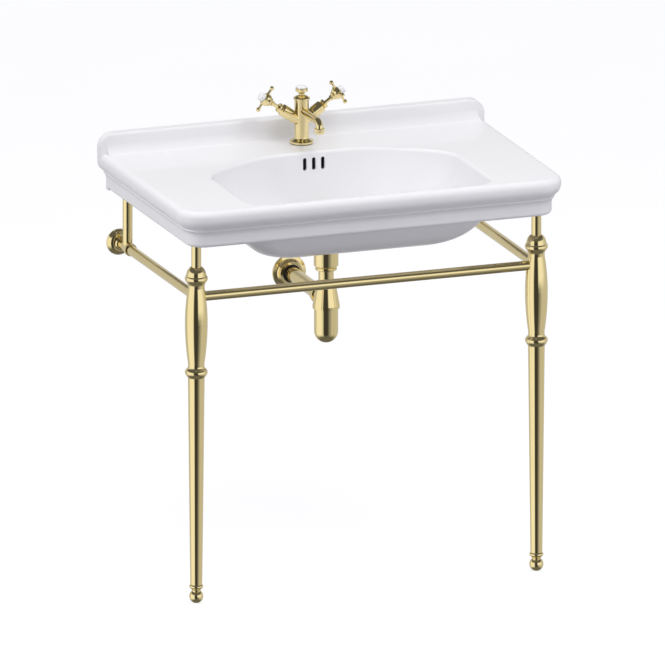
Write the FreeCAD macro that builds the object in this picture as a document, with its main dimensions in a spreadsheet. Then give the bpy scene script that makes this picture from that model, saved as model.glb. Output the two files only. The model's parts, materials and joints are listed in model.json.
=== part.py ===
import FreeCAD, Part

# Console sink with legs: a ceramic basin on a turned brass washstand, with a
# cross-handled mixer, a pop-up waste and a bottle trap.
# Millimetres. The floor is z = 0, the wall is the plane y = +basin_depth / 2,
# the front is -y, and x = 0 is the middle of the basin.

import math
import os
import Sketcher

SIZES = {
    # Basin, outside
    "basin_width": 850,
    "basin_depth": 540,
    "deck_height": 857.5,
    "rim_drop": 81.5,
    "corner_radius": 59,
    "deck_thickness": 14,
    "lip_round": 14,
    "lip_straight": 4,
    "lip_undercut": 10.5,
    "lip_undercut_drop": 38.5,
    "lip_undercut_radius": 25.5,
    "quirk_inset": 14,
    "quirk_drop": 42,
    "quirk_height": 3.5,
    "apron_inset": 19.8,
    "apron_top_drop": 58,
    "cavetto_radius": 16,
    "apron_foot_round": 8,
    "apron_wall": 12,
    "back_wall": 14,
    # Basin, upstand
    "upstand_height": 42.5,
    "upstand_thickness": 24,
    "upstand_corner": 30,
    "upstand_edge": 5,
    "upstand_cove": 20,
    # Basin, bowl (distances back from the front lip and out from the middle)
    "bowl_width": 542,
    "bowl_front": 24,
    "bowl_back": 388,
    "bowl_back_width": 210,
    "bowl_cant": 28,
    "bowl_depth": 130,
    "bowl_floor_width": 320,
    "bowl_floor_front": 132,
    "bowl_floor_back": 358,
    "bowl_floor_back_width": 100,
    "bowl_wall": 12,
    "bowl_floor": 15,
    "bowl_front_radius": 42,
    "bowl_side_radius": 90,
    "bowl_back_radius": 140,
    "bowl_floor_radius": 80,
    "bowl_mouth_round": 7,
    # Basin, holes and passages
    "tap_hole_radius": 17.5,
    "waste_hole_radius": 22.5,
    "waste_boss_radius": 37,
    "waste_boss_drop": 14,
    "waste_recess_depth": 3,
    "waste_boss_root": 6,
    "overflow_slot_width": 8.4,
    "overflow_slot_height": 27,
    "overflow_slot_pitch": 20,
    "overflow_slot_drop": 26,
    "overflow_chamber_width": 62,
    "overflow_chamber_depth": 11,
    "overflow_wall": 8,
    "overflow_root": 30,
    "overflow_bore": 5.5,
    "fixing_hole_radius": 7,
    "fixing_hole_spacing": 280,
    "fixing_hole_drop": 45,
    # Washstand, layout
    "leg_inset": 48,
    "leg_setback": 68,
    "rear_post_to_wall": 53.5,
    "rail_rise": 173,
    "tube_radius": 10.4,
    "tube_wall": 1.6,
    "fit_clearance": 0.1,
    # Washstand, foot
    "foot_ball_radius": 14.7,
    "foot_flat_radius": 3,
    "foot_neck_radius": 9.6,
    "foot_neck_height": 25.7,
    "foot_height": 31.5,
    "foot_stud_radius": 5,
    "foot_stud_length": 22,
    # Washstand, tapered lower leg
    "leg_disc_radius": 14.8,
    "leg_disc_height": 8.5,
    "leg_bottom_radius": 12.6,
    "leg_top_radius": 17.6,
    "leg_top_height": 487,
    "leg_spigot_radius": 8,
    "leg_spigot_length": 26,
    # Washstand, baluster
    "lower_ring_radius": 23.9,
    "lower_ring_rise": 11,
    "ring_half_height": 6,
    "lower_neck_radius": 17.3,
    "lower_neck_rise": 30,
    "belly_radius": 23.8,
    "belly_rise": 117,
    "upper_neck_radius": 17.5,
    "upper_neck_rise": 193,
    "upper_ring_radius": 24.2,
    "upper_ring_rise": 213,
    "dome_radius": 20.7,
    "dome_foot_rise": 223,
    "dome_top_rise": 238,
    "rail_seat": 13,
    # Support pads under the basin
    "pad_radius": 13,
    "pad_thickness": 5,
    "pad_plug_length": 14,
    # Rail tees, brackets and roses at the wall
    "tee_collar_radius": 13.5,
    "tee_collar_length": 9,
    "tee_collar_reach": 22,
    "tee_socket_depth": 8,
    "tee_barrel_radius": 11,
    "tee_neck_height": 14,
    "tee_spigot_length": 16,
    "tee_in_rose": 4,
    "tee_bore_depth": 14,
    "bracket_radius": 23,
    "bracket_thickness": 4,
    "bracket_boss_radius": 7.5,
    "bracket_hole_spacing": 32,
    "bracket_hole_radius": 2.6,
    "rose_radius": 28,
    "rose_depth": 22,
    "rose_step_radius": 15,
    "rose_shell": 2,
    "rose_gap": 0.3,
    # Tap
    "tap_to_wall": 78,
    "tap_gasket": 1.5,
    "tap_base_radius": 24.7,
    "tap_base_height": 8,
    "tap_column_radius": 14.9,
    "tap_column_top": 92.5,
    "tap_collar_radius": 17.3,
    "tap_collar_height": 5,
    "tap_dome_height": 4.5,
    "tap_cap_spigot_radius": 11,
    "tap_cap_spigot_length": 8,
    "lift_rod_radius": 2.5,
    "running_clearance": 0.05,
    "arm_tilt": 35,
    "arm_origin": 44,
    "arm_radius": 11.8,
    "arm_length": 31,
    "bonnet_radius": 12.7,
    "bonnet_length": 24,
    "bonnet_neck_length": 3,
    "bonnet_collar_radius": 10,
    "bonnet_collar_length": 5.5,
    "bonnet_tail_radius": 8,
    "bonnet_tail_length": 9,
    "spindle_radius": 4,
    "handle_reach": 99,
    "handle_hub_radius": 13.4,
    "handle_hub_back": 22,
    "handle_hub_front": 4,
    "handle_cap_bore": 6,
    "handle_arm_radius": 2.7,
    "handle_ball_radius": 4.6,
    "handle_span": 62,
    "index_cap_radius": 9,
    "index_cap_height": 11,
    "spout_height": 70,
    "spout_radius": 7.6,
    "spout_reach": 109,
    "spout_bend": 13,
    "spout_drop": 16,
    "nozzle_radius": 10.5,
    "nozzle_length": 12,
    "nozzle_bore": 6,
    "knob_radius": 12.9,
    "knob_neck_radius": 6.2,
    "knob_neck_height": 4.5,
    "knob_taper_height": 4,
    "knob_rim_height": 7,
    "knob_button_radius": 11.2,
    "knob_button_height": 5.5,
    "knob_gap": 0.3,
    "shank_radius": 16.5,
    "shank_length": 56,
    "shank_overlap": 5,
    "rod_bore_radius": 3.6,
    "inlet_radius": 4.5,
    "inlet_offset": 9.6,
    "inlet_depth": 18,
    "clamp_washer_radius": 24,
    "clamp_washer_thickness": 2,
    "clamp_seal_thickness": 3,
    "back_nut_radius": 24,
    "back_nut_height": 9,
    # Pop-up linkage
    "lift_travel": 28,
    "lift_rod_drop": 117.5,
    "strap_width": 10,
    "strap_thickness": 1.6,
    "strap_end": 10,
    "strap_hole_radius": 3.2,
    "strap_hole_pitch": 17,
    "clamp_radius": 6.5,
    "clamp_height": 14,
    "clamp_screw_radius": 2,
    "clamp_screw_head": 5,
    "pivot_drop": 25.5,
    "pivot_rod_radius": 2.5,
    "pivot_ball_radius": 5.5,
    "pivot_ball_reach": 29,
    "pivot_ball_gap": 0.3,
    "pivot_bore_radius": 4.6,
    "pivot_overrun": 4,
    "pivot_tail": 10,
    "pivot_port_radius": 9,
    "pivot_port_reach": 36,
    "pivot_nut_radius": 12.5,
    "pivot_nut_length": 12,
    "pivot_nut_overlap": 6,
    # Waste
    "waste_to_wall": 227,
    "waste_flange_radius": 32,
    "waste_flange_edge": 2.5,
    "waste_tube_radius": 20.6,
    "waste_tube_wall": 2.6,
    "waste_seal_thickness": 2,
    "waste_seal_radius": 31,
    "waste_nut_radius": 30,
    "waste_nut_height": 9,
    "plug_seat_radius": 20,
    "plug_seat_depth": 3,
    "plug_radius": 19.3,
    "plug_edge": 2.5,
    "plug_crown": 3,
    "plug_seal_thickness": 1.2,
    "plug_gap": 0.4,
    "plug_stem_radius": 4,
    "plug_eye_width": 13,
    "plug_eye_thickness": 5,
    "plug_eye_radius": 3.4,
    # Bottle trap
    "trap_nut_radius": 25.8,
    "trap_nut_rise": 27,
    "trap_nut_drop": 7,
    "trap_collar_radius": 22.6,
    "trap_collar_height": 7,
    "waste_tail": 62.5,
    "trap_flange": 2.5,
    "trap_gap": 0.3,
    "trap_tube_radius": 16,
    "trap_tube_wall": 1.5,
    "trap_tube_length": 136,
    "trap_head_height": 58,
    "trap_head_top_radius": 19.5,
    "trap_head_drop": 96,
    "trap_head_radius": 28.6,
    "trap_head_collar": 5.5,
    "trap_skirt_height": 6,
    "trap_wall": 2.5,
    "trap_cup_radius": 25.3,
    "trap_cup_drop": 49.5,
    "trap_cup_neck": 6,
    "outlet_rise": 20,
    "outlet_boss_radius": 18.5,
    "outlet_boss_reach": 38,
    "outlet_nut_radius": 21.5,
    "outlet_nut_length": 17,
    "outlet_nut_overlap": 8,
    "outlet_pipe_radius": 16,
    "outlet_rose_radius": 37,
    "outlet_rose_edge": 4,
    "outlet_hub_radius": 26,
    "outlet_hub_depth": 18,
    "outlet_seal_radius": 19.5,
    "outlet_seal_length": 5,
}

BOWL_FULLNESS = 1.95
BOWL_LEVELS = (0.0, 0.22, 0.45, 0.66, 0.82, 0.93, 1.0)
SIDES = {"left": -1, "right": 1}
VECTOR = FreeCAD.Vector
X_AXIS = VECTOR(1, 0, 0)
Y_AXIS = VECTOR(0, 1, 0)
Z_AXIS = VECTOR(0, 0, 1)

doc = FreeCAD.newDocument("console_sink")
pieces = []


class Term:
    """A size now, and the expression that ties it to the sheet."""

    def __init__(self, value, text):
        self.value = value
        self.text = text

    def __add__(self, other):
        return Term(self.value + value_of(other), "(%s + %s)" % (self.text, text_of(other)))

    def __sub__(self, other):
        return Term(self.value - value_of(other), "(%s - %s)" % (self.text, text_of(other)))

    def __rsub__(self, other):
        return Term(value_of(other) - self.value, "(%s - %s)" % (text_of(other), self.text))

    def __mul__(self, other):
        return Term(self.value * value_of(other), "(%s * %s)" % (self.text, text_of(other)))

    def __truediv__(self, other):
        return Term(self.value / value_of(other), "(%s / %s)" % (self.text, text_of(other)))

    def __neg__(self):
        return Term(-self.value, "(0 - %s)" % self.text)

    __radd__ = __add__
    __rmul__ = __mul__


def value_of(item):
    return item.value if isinstance(item, Term) else float(item)


def text_of(item):
    return item.text if isinstance(item, Term) else "%.6f" % item


def sine(angle):
    return Term(math.sin(math.radians(angle.value)), "sin(%s)" % angle.text)


def cosine(angle):
    return Term(math.cos(math.radians(angle.value)), "cos(%s)" % angle.text)


def tangent(angle):
    return Term(math.tan(math.radians(angle.value)), "tan(%s)" % angle.text)


class Sheet:
    """Reads the sheet's sizes as terms, by name."""

    def __getattr__(self, name):
        return Term(float(SIZES[name]), "Sizes." + name)


def make_sheet():
    sheet = doc.addObject("Spreadsheet::Sheet", "Sizes")
    for row, (name, number) in enumerate(SIZES.items(), start=1):
        cell = "A%d" % row
        sheet.set(cell, str(number))
        sheet.setAlias(cell, name)
    doc.recompute()


def bind(item, path, term):
    """Sets a property, and ties it to the sheet where the term reads from it."""
    if isinstance(term, Term):
        item.setExpression(path, term.text)


def place(item, at, turn_axis=Z_AXIS, turn=0.0):
    """Puts an item at a point, turned about one axis."""
    spot = VECTOR(*[value_of(term) for term in at])
    item.Placement = FreeCAD.Placement(spot, FreeCAD.Rotation(turn_axis, value_of(turn)))
    for letter, term in zip("xyz", at):
        bind(item, "Placement.Base." + letter, term)
    if isinstance(turn, Term):
        bind(item, "Placement.Rotation.Angle", turn)


# Turns that carry the local +Z axis to the named direction
TO_BACK = (X_AXIS, -90.0)
TO_FRONT = (X_AXIS, 90.0)
TO_RIGHT = (Y_AXIS, 90.0)
TO_LEFT = (Y_AXIS, -90.0)
TO_FLOOR = (X_AXIS, 180.0)
UPRIGHT = (Z_AXIS, 0.0)


def new_body(label, kept=True):
    body = doc.addObject("PartDesign::Body", label)
    body.Label = label
    if kept:
        pieces.append(body)
    return body


def arc_between(start, end, radius):
    """Minor arc from start to end: a positive radius turns left, a negative one right."""
    run = end - start
    half = run.Length / 2
    reach = math.sqrt(max(radius * radius - half * half, 0.0))
    left = VECTOR(-run.y, run.x, 0).normalize()
    centre = start + run * 0.5 + left * math.copysign(reach, radius)
    first, last = (start, end) if radius > 0 else (end, start)
    angles = [math.atan2(spot.y - centre.y, spot.x - centre.x) for spot in (first, last)]
    return Part.ArcOfCircle(Part.Circle(centre, VECTOR(0, 0, 1), abs(radius)), *angles)


def draw(sketch, corners, closed=True):
    """Draws an outline. A corner is (x, y), or (x, y, radius) where an arc arrives at it."""
    spots = [VECTOR(value_of(corner[0]), value_of(corner[1]), 0) for corner in corners]
    count = len(corners)
    ends = []
    for index in range(count if closed else count - 1):
        after = (index + 1) % count
        radius = value_of(corners[after][2]) if len(corners[after]) > 2 else 0.0
        if radius:
            edge = sketch.addGeometry(arc_between(spots[index], spots[after], radius), False)
            size = sketch.addConstraint(Sketcher.Constraint("Radius", edge, abs(radius)))
            term = corners[after][2] if radius > 0 else corners[after][2] * -1
            bind(sketch, "Constraints[%d]" % size, term)
            ends.append((edge, 1, 2) if radius > 0 else (edge, 2, 1))
        else:
            edge = sketch.addGeometry(Part.LineSegment(spots[index], spots[after]), False)
            ends.append((edge, 1, 2))
    for index in range(len(ends)):
        if closed or index:
            before = ends[index - 1]
            sketch.addConstraint(
                Sketcher.Constraint("Coincident", before[0], before[2], ends[index][0], ends[index][1])
            )
    for index, corner in enumerate(corners):
        edge, pos = (ends[index][0], ends[index][1]) if index < len(ends) else (ends[-1][0], ends[-1][2])
        for kind, term in zip(("DistanceX", "DistanceY"), corner):
            held = Sketcher.Constraint(kind, -1, 1, edge, pos, value_of(term))
            bind(sketch, "Constraints[%d]" % sketch.addConstraint(held), term)


def new_sketch(body, role, level=0.0):
    """A sketch on one of the body's own origin planes, level millimetres along its normal."""
    plane = [item for item in body.Origin.OriginFeatures if item.Role == role][0]
    sketch = body.newObject("Sketcher::SketchObject", body.Name + "_sketch")
    sketch.AttachmentSupport = [(plane, "")]
    sketch.MapMode = "FlatFace"
    sketch.AttachmentOffset = FreeCAD.Placement(VECTOR(0, 0, value_of(level)), FreeCAD.Rotation())
    bind(sketch, "AttachmentOffset.Base.z", level)
    return sketch


def outline(body, role, corners, level=0.0, closed=True):
    sketch = new_sketch(body, role, level)
    draw(sketch, corners, closed)
    return sketch


def circles(body, role, rings, level=0.0):
    """A sketch of full circles: each ring is (x, y, radius)."""
    sketch = new_sketch(body, role, level)
    for x, y, radius in rings:
        centre = VECTOR(value_of(x), value_of(y), 0)
        edge = sketch.addGeometry(Part.Circle(centre, VECTOR(0, 0, 1), value_of(radius)), False)
        for kind, term in (("DistanceX", x), ("DistanceY", y)):
            held = Sketcher.Constraint(kind, -1, 1, edge, 3, value_of(term))
            bind(sketch, "Constraints[%d]" % sketch.addConstraint(held), term)
        size = Sketcher.Constraint("Radius", edge, value_of(radius))
        bind(sketch, "Constraints[%d]" % sketch.addConstraint(size), radius)
    return sketch


def extrude(body, kind, sketch, length, reverse=False, symmetric=False):
    """Pads or pockets a sketch, and checks that the solid grew or shrank."""
    before = body.Shape.Volume if body.Tip else 0.0
    feature = body.newObject("PartDesign::" + kind, body.Name + "_" + kind)
    feature.Profile = sketch
    feature.Length = value_of(length)
    bind(feature, "Length", length)
    feature.Reversed = reverse
    if symmetric:
        feature.SideType = "Symmetric"
    doc.recompute()
    grown = body.Shape.Volume - before
    if (grown > 0) != (kind == "Pad"):
        raise RuntimeError("%s of %s points the wrong way" % (kind, body.Label))
    return feature


def revolve(body, sketch, axis="V_Axis", kind="Revolution"):
    feature = body.newObject("PartDesign::" + kind, body.Name + "_" + kind)
    feature.Profile = sketch
    feature.ReferenceAxis = (sketch, [axis])
    feature.Angle = 360
    return feature


def primitive(body, kind, sizes, at, turn_axis=Z_AXIS, turn=0.0):
    """Adds or cuts a box, cylinder, cone or prism: kind is such as AdditiveBox."""
    feature = body.newObject("PartDesign::" + kind, body.Name + "_" + kind)
    for name, term in sizes.items():
        setattr(feature, name, value_of(term))
        bind(feature, name, term)
    place(feature, at, turn_axis, turn)
    return feature


def turned(label, corners, at=(0, 0, 0), facing=UPRIGHT, kept=True):
    """A turned piece: corners are (radius, height) round its own upright axis."""
    body = new_body(label, kept)
    revolve(body, outline(body, "XZ_Plane", corners))
    place(body, at, *facing)
    return body


def ring_corners(inner, outer, bottom, top):
    return [(inner, bottom), (outer, bottom), (outer, top), (inner, top)]


def tube(label, length, at, facing=UPRIGHT):
    """A length of the stand's tube, open at both ends."""
    bore = S.tube_radius - S.tube_wall
    return turned(label, ring_corners(bore, S.tube_radius, 0, length), at, facing)


def group(label, members):
    """Identical fasteners, kept together as one piece."""
    bundle = doc.addObject("Part::Compound", label)
    bundle.Label = label
    bundle.Links = members
    pieces.append(bundle)
    return bundle


S = Sheet()
make_sheet()

# Places that many pieces share
wall_y = S.basin_depth / 2
front_y = -wall_y
leg_x = S.basin_width / 2 - S.leg_inset
leg_y = S.leg_setback - wall_y
leg_top_z = S.leg_top_height
rail_z = leg_top_z + S.rail_rise
upper_ring_z = leg_top_z + S.upper_ring_rise
post_y = wall_y - S.rear_post_to_wall
tap_y = wall_y - S.tap_to_wall
waste_y = wall_y - S.waste_to_wall
deck_z = S.deck_height
deck_under_z = deck_z - S.deck_thickness
apron_z = deck_z - S.rim_drop
bowl_floor_z = deck_z - S.bowl_depth
bowl_under_z = bowl_floor_z - S.bowl_floor
boss_under_z = bowl_under_z - S.waste_boss_drop
chamber_y = front_y + S.bowl_back + S.bowl_wall
duct_z = bowl_floor_z - S.bowl_floor / 2 - S.overflow_wall / 2 - S.overflow_bore / 2
pivot_z = boss_under_z - S.pivot_drop
nut_seat_z = boss_under_z - S.waste_tail
nut_bottom_z = nut_seat_z - S.trap_nut_drop
head_z = nut_seat_z - S.trap_head_drop
outlet_z = head_z + S.outlet_rise
socket_radius = S.tube_radius + S.fit_clearance
tee_back = S.rear_post_to_wall - S.rose_depth + S.tee_in_rose


# ---------------------------------------------------------------- basin


def rim_path(body):
    """The U shaped line of the lip, from the wall round the front and back to the wall."""
    half = S.basin_width / 2
    bend = S.corner_radius
    corners = [
        (-half, wall_y),
        (-half, front_y + bend),
        (bend - half, front_y, bend),
        (half - bend, front_y),
        (half, front_y + bend, bend),
        (half, wall_y),
    ]
    return outline(body, "XY_Plane", corners, closed=False)


def rim_section(body):
    """The moulding: bullnose lip, undercut, quirk, cavetto and apron, at the wall end."""
    left = -(S.basin_width / 2)
    inner = left + S.apron_inset + S.apron_wall
    shelf = inner + S.apron_foot_round / 2
    corners = [
        (shelf, deck_z),
        (left + S.lip_round, deck_z),
        (left, deck_z - S.lip_round, S.lip_round),
        (left, deck_z - S.lip_round - S.lip_straight),
        (left + S.lip_undercut, deck_z - S.lip_undercut_drop, S.lip_undercut_radius),
        (left + S.quirk_inset, deck_z - S.quirk_drop),
        (left + S.quirk_inset, deck_z - S.quirk_drop - S.quirk_height),
        (left + S.apron_inset, deck_z - S.apron_top_drop, -S.cavetto_radius),
        (left + S.apron_inset, apron_z + S.apron_foot_round),
        (left + S.apron_inset + S.apron_foot_round, apron_z, S.apron_foot_round),
        (inner, apron_z),
        (inner, deck_under_z),
        (shelf, deck_under_z),
    ]
    return outline(body, "XZ_Plane", corners, level=-wall_y)


def slab_corners(inset):
    """The basin's plan, drawn in from the lip and square at the wall."""
    half = S.basin_width / 2 - inset
    bend = S.corner_radius - inset
    front = front_y + inset
    return [
        (-half, wall_y),
        (-half, front + bend),
        (bend - half, front, bend),
        (half - bend, front),
        (half, front + bend, bend),
        (half, wall_y),
    ]


def bowl_corners(fullness, wall):
    """The bowl's plan at one level: 0 is the mouth, 1 the floor; wall grows it all round."""

    def between(mouth, floor):
        return mouth + (floor - mouth) * fullness

    cant = S.bowl_cant
    half = between(S.bowl_width / 2, S.bowl_floor_width / 2) + wall
    front = front_y + between(S.bowl_front, S.bowl_floor_front) - wall
    back = front_y + between(S.bowl_back, S.bowl_floor_back) + wall
    turn = between(S.bowl_back_width / 2, S.bowl_floor_back_width / 2) + tangent(cant / 2) * wall
    side = back - (half - turn) * tangent(cant)
    front_bend = S.bowl_front_radius + wall
    side_bend = between(S.bowl_side_radius, S.bowl_floor_radius)
    back_bend = between(S.bowl_back_radius, S.bowl_floor_radius)
    side_run = side_bend * tangent(cant / -2 + 45)
    back_run = back_bend * tangent(cant / 2)
    right = [
        (front_bend - half, front),
        (half - front_bend, front),
        (half, front + front_bend, front_bend),
        (half, side - side_run),
        (half - side_run * cosine(cant), side + side_run * sine(cant), side_bend),
        (turn + back_run * cosine(cant), back - back_run * sine(cant)),
        (turn - back_run, back, back_bend),
    ]
    left = [
        (back_run - turn, back),
        (-turn - back_run * cosine(cant), back - back_run * sine(cant), back_bend),
        (side_run * cosine(cant) - half, side + side_run * sine(cant)),
        (-half, side - side_run, side_bend),
        (-half, front + front_bend),
    ]
    return [right[0] + (front_bend,)] + right[1:] + left


def bowl_loft(body, kind, wall, top_z, floor_z):
    """Lofts the bowl through its levels, upright at the mouth and round into the floor."""
    sections = []
    for level in BOWL_LEVELS:
        fullness = 1 - (1 - level**BOWL_FULLNESS) ** (1 / BOWL_FULLNESS)
        height = top_z - (top_z - floor_z) * level
        sections.append(outline(body, "XY_Plane", bowl_corners(fullness, wall), level=height))
    loft = body.newObject("PartDesign::" + kind, body.Name + "_" + kind)
    loft.Profile = sections[0]
    loft.Sections = sections[1:]
    doc.recompute()


def round_mouth(body):
    """Rounds the edge where the bowl meets the deck."""
    inside = (S.basin_width / 2 - S.corner_radius).value
    names = []
    for number, edge in enumerate(body.Shape.Edges, start=1):
        box = edge.BoundBox
        level = max(abs(box.ZMin - deck_z.value), abs(box.ZMax - deck_z.value)) < 0.01
        if level and max(abs(box.XMin), abs(box.XMax)) < inside and box.YMax < chamber_y.value:
            names.append("Edge%d" % number)
    bowl = body.Tip
    feature = body.newObject("PartDesign::Fillet", "basin_mouth")
    feature.Base = (bowl, names)
    feature.Radius = S.bowl_mouth_round.value
    bind(feature, "Radius", S.bowl_mouth_round)
    doc.recompute()


def upstand(body):
    """The low splash along the wall: a cove, a rounded top edge and rounded corners."""
    face = wall_y - S.upstand_thickness
    top = deck_z + S.upstand_height
    root = deck_z - S.lip_round
    slab = [
        (wall_y, root),
        (wall_y, top),
        (face + S.upstand_edge, top),
        (face, top - S.upstand_edge, S.upstand_edge),
        (face, root),
    ]
    extrude(body, "Pad", outline(body, "YZ_Plane", slab), S.basin_width, symmetric=True)
    cove = [
        (face - S.upstand_cove, deck_z - S.deck_thickness / 2),
        (face, deck_z - S.deck_thickness / 2),
        (face, deck_z + S.upstand_cove),
        (face - S.upstand_cove, deck_z, -S.upstand_cove),
    ]
    width = S.basin_width - S.lip_round * 2
    extrude(body, "Pad", outline(body, "YZ_Plane", cove), width, symmetric=True)
    half = S.basin_width / 2
    bend = S.upstand_corner
    for side in SIDES.values():
        corner = [
            (half * side, top),
            ((half - bend) * side, top),
            (half * side, top - bend, bend * -side),
        ]
        sketch = outline(body, "XZ_Plane", corner, level=-wall_y)
        extrude(body, "Pocket", sketch, S.upstand_thickness + 1, reverse=True)


def overflow(body):
    """The channel behind the slots, down to the boss round the waste hole."""
    wall = S.overflow_wall
    width = S.overflow_chamber_width + wall * 2
    depth = S.overflow_chamber_depth + wall * 2 + S.overflow_root
    start = chamber_y - wall - S.overflow_root
    duct = S.overflow_bore * 2 + wall * 2
    low = boss_under_z
    thick = bowl_floor_z - S.waste_boss_root - low
    chamber = {"Length": width, "Width": depth, "Height": deck_under_z - low}
    channel = {"Length": duct, "Width": chamber_y - waste_y, "Height": thick}
    boss = {"Radius": S.waste_boss_radius, "Height": thick}
    primitive(body, "AdditiveBox", chamber, (-(width / 2), start, low))
    primitive(body, "AdditiveBox", channel, (-(duct / 2), waste_y, low))
    primitive(body, "AdditiveCylinder", boss, (0, waste_y, low))
    doc.recompute()


def overflow_passage(body):
    """The chamber behind the slots and the duct under the floor to the waste."""
    width = S.overflow_chamber_width
    depth = S.overflow_chamber_depth
    bottom = duct_z - S.overflow_bore
    chamber = {"Length": width, "Width": depth, "Height": deck_under_z - bottom}
    duct = {"Radius": S.overflow_bore, "Height": chamber_y + depth / 2 - waste_y}
    primitive(body, "SubtractiveBox", chamber, (-(width / 2), chamber_y, bottom))
    primitive(body, "SubtractiveCylinder", duct, (0, waste_y, duct_z), *TO_BACK)


def overflow_slots(body):
    """The three slots from the bowl into the chamber. Their round tops reach into the deck."""
    depth = S.overflow_chamber_depth
    slot_z = deck_z - S.overflow_slot_drop
    half = S.overflow_slot_width / 2
    tall = S.overflow_slot_height / 2 - half
    for step in (-1, 0, 1):
        middle = S.overflow_slot_pitch * step
        slot = [
            (middle - half, slot_z - tall),
            (middle, slot_z - tall - half, half),
            (middle + half, slot_z - tall, half),
            (middle + half, slot_z + tall),
            (middle, slot_z + tall + half, half),
            (middle - half, slot_z + tall, half),
        ]
        sketch = outline(body, "XZ_Plane", slot, level=-chamber_y - depth / 2)
        extrude(body, "Pocket", sketch, S.bowl_wall * 2 + depth / 2, reverse=True)


def make_basin():
    """The deck with its moulded rim, back wall and upstand, open where the bowl is."""
    body = new_body("basin")
    pipe = body.newObject("PartDesign::AdditivePipe", "basin_rim")
    path = rim_path(body)
    pipe.Profile = rim_section(body)
    pipe.Spine = path
    doc.recompute()
    slab = outline(body, "XY_Plane", slab_corners(S.apron_inset), level=deck_under_z)
    extrude(body, "Pad", slab, S.deck_thickness)
    half = S.basin_width / 2 - S.apron_inset
    primitive(
        body,
        "AdditiveBox",
        {"Length": half * 2, "Width": S.back_wall, "Height": S.rim_drop - S.deck_thickness / 2},
        (-half, wall_y - S.back_wall, apron_z),
    )
    bowl_loft(body, "SubtractiveLoft", Term(0.0, "0"), deck_z, bowl_floor_z)
    round_mouth(body)
    upstand(body)
    overflow_slots(body)
    hole = {"Radius": S.tap_hole_radius, "Height": S.deck_thickness}
    primitive(body, "SubtractiveCylinder", hole, (0, tap_y, deck_under_z))
    for side in SIDES.values():
        at = (S.fixing_hole_spacing / 2 * side, wall_y - S.back_wall, deck_z - S.fixing_hole_drop)
        sizes = {"Radius": S.fixing_hole_radius, "Height": S.back_wall}
        primitive(body, "SubtractiveCylinder", sizes, at, *TO_BACK)
    doc.recompute()


def make_bowl():
    """The bowl below the deck, with its boss and overflow. It is one casting with the deck."""
    body = new_body("basin_bowl")
    bowl_loft(body, "AdditiveLoft", S.bowl_wall, deck_z - S.deck_thickness / 2, bowl_under_z)
    overflow(body)
    bowl_loft(body, "SubtractiveLoft", Term(0.0, "0"), deck_z, bowl_floor_z)
    across = S.bowl_width + S.bowl_wall * 2
    left = -(across / 2)
    deck = {"Length": across, "Width": S.basin_depth, "Height": S.deck_thickness}
    primitive(body, "SubtractiveBox", deck, (left, front_y, deck_under_z))
    apron = {"Length": across, "Width": S.apron_inset + S.apron_wall, "Height": deck_under_z - apron_z}
    primitive(body, "SubtractiveBox", apron, (left, front_y, apron_z))
    overflow_passage(body)
    overflow_slots(body)
    hole = {"Radius": S.waste_hole_radius, "Height": bowl_floor_z - boss_under_z}
    recess = {"Radius": S.waste_flange_radius + 1, "Height": S.waste_recess_depth}
    primitive(body, "SubtractiveCylinder", hole, (0, waste_y, boss_under_z))
    primitive(body, "SubtractiveCylinder", recess, (0, waste_y, bowl_floor_z - S.waste_recess_depth))
    doc.recompute()


# ---------------------------------------------------------------- washstand


def swell_radius(rise, swell):
    """The radius of an arc that rises and swells to an upright tangent."""
    return (rise * rise + swell * swell) / (swell * 2)


def bead(radius, middle, half, lift=2.3, round_radius=9):
    """The outer corners of a rounded ring, from below its middle to above it."""
    return [
        (radius - lift, middle - half),
        (radius, middle, round_radius),
        (radius - lift, middle + half, round_radius),
    ]


def make_foot(label, x):
    neck = S.foot_neck_radius
    stud = S.foot_stud_radius
    top = S.foot_height
    corners = [
        (0, 0),
        (S.foot_flat_radius, 0),
        (neck, S.foot_neck_height, S.foot_ball_radius),
        (neck, S.foot_neck_height + 2),
        (neck + 3, top, -4.5),
        (stud, top),
        (stud, top + S.foot_stud_length),
        (0, top + S.foot_stud_length),
    ]
    turned(label, corners, (x, leg_y, 0))


def make_lower_leg(label, x):
    bore = S.foot_stud_radius + S.fit_clearance
    bore_top = S.foot_height + S.foot_stud_length + 1
    bottom = S.foot_height
    disc_top = bottom + S.leg_disc_height
    spigot = S.leg_spigot_radius
    top = leg_top_z
    corners = [
        (bore, bottom),
        (S.leg_bottom_radius, bottom),
        (S.leg_disc_radius, bottom + S.leg_disc_height / 2, 5.5),
        (S.leg_bottom_radius, disc_top, 5.5),
        (S.leg_top_radius, top),
        (spigot, top),
        (spigot, top + S.leg_spigot_length),
        (0, top + S.leg_spigot_length),
        (0, bore_top),
        (bore, bore_top),
    ]
    turned(label, corners, (x, leg_y, 0))


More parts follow.
